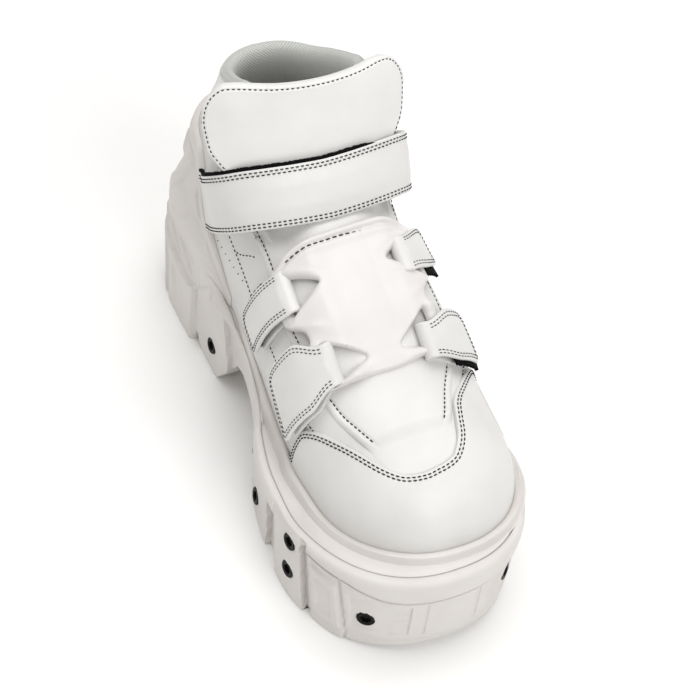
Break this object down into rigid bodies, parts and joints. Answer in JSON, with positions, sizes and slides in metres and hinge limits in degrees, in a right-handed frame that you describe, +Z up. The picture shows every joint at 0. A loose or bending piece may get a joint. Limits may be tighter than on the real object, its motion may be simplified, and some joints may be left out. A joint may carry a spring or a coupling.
{
  "type": "platform ankle boot",
  "caption": "White platform ankle boot with a lugged rubber sole, rounded toe cap, heel cup, wide tongue, forefoot saddle with looped side straps and a broad ankle strap. Left foot.",
  "frame": {"origin": "centre of the footprint on the floor, under the middle of the shoe", "axes": "-Y towards the toe, +Y towards the heel, -X the medial side, +X the lateral side, +Z up"},
  "size_m": [0.1185, 0.2796, 0.181],
  "materials": {
    "sole_rubber": "matte moulded",
    "white_leather": "smooth satin",
    "lining": "padded mesh",
    "black_metal": "black satin"
  },
  "bodies": {
    "root": {"outsole": "sole_rubber", "heel_counter": "sole_rubber", "insole": "lining", "upper": "white_leather", "toe_cap": "white_leather", "tongue": "white_leather", "saddle": "white_leather", "strap_rear_medial": "white_leather", "strap_front_medial": "white_leather", "strap_rear_lateral": "white_leather", "strap_front_lateral": "white_leather", "ankle_strap": "white_leather", "screw_bumper_medial": "black_metal", "screw_bumper_lateral": "black_metal", "screw_panel_upper_medial": "black_metal", "screw_panel_upper_lateral": "black_metal", "screw_panel_lower_medial": "black_metal", "screw_panel_lower_lateral": "black_metal", "screw_ball_upper_medial": "black_metal", "screw_ball_upper_lateral": "black_metal", "screw_ball_lower_medial": "black_metal", "screw_ball_lower_lateral": "black_metal", "screw_heel_medial": "black_metal", "screw_heel_lateral": "black_metal"}
  },
  "joints": []
}
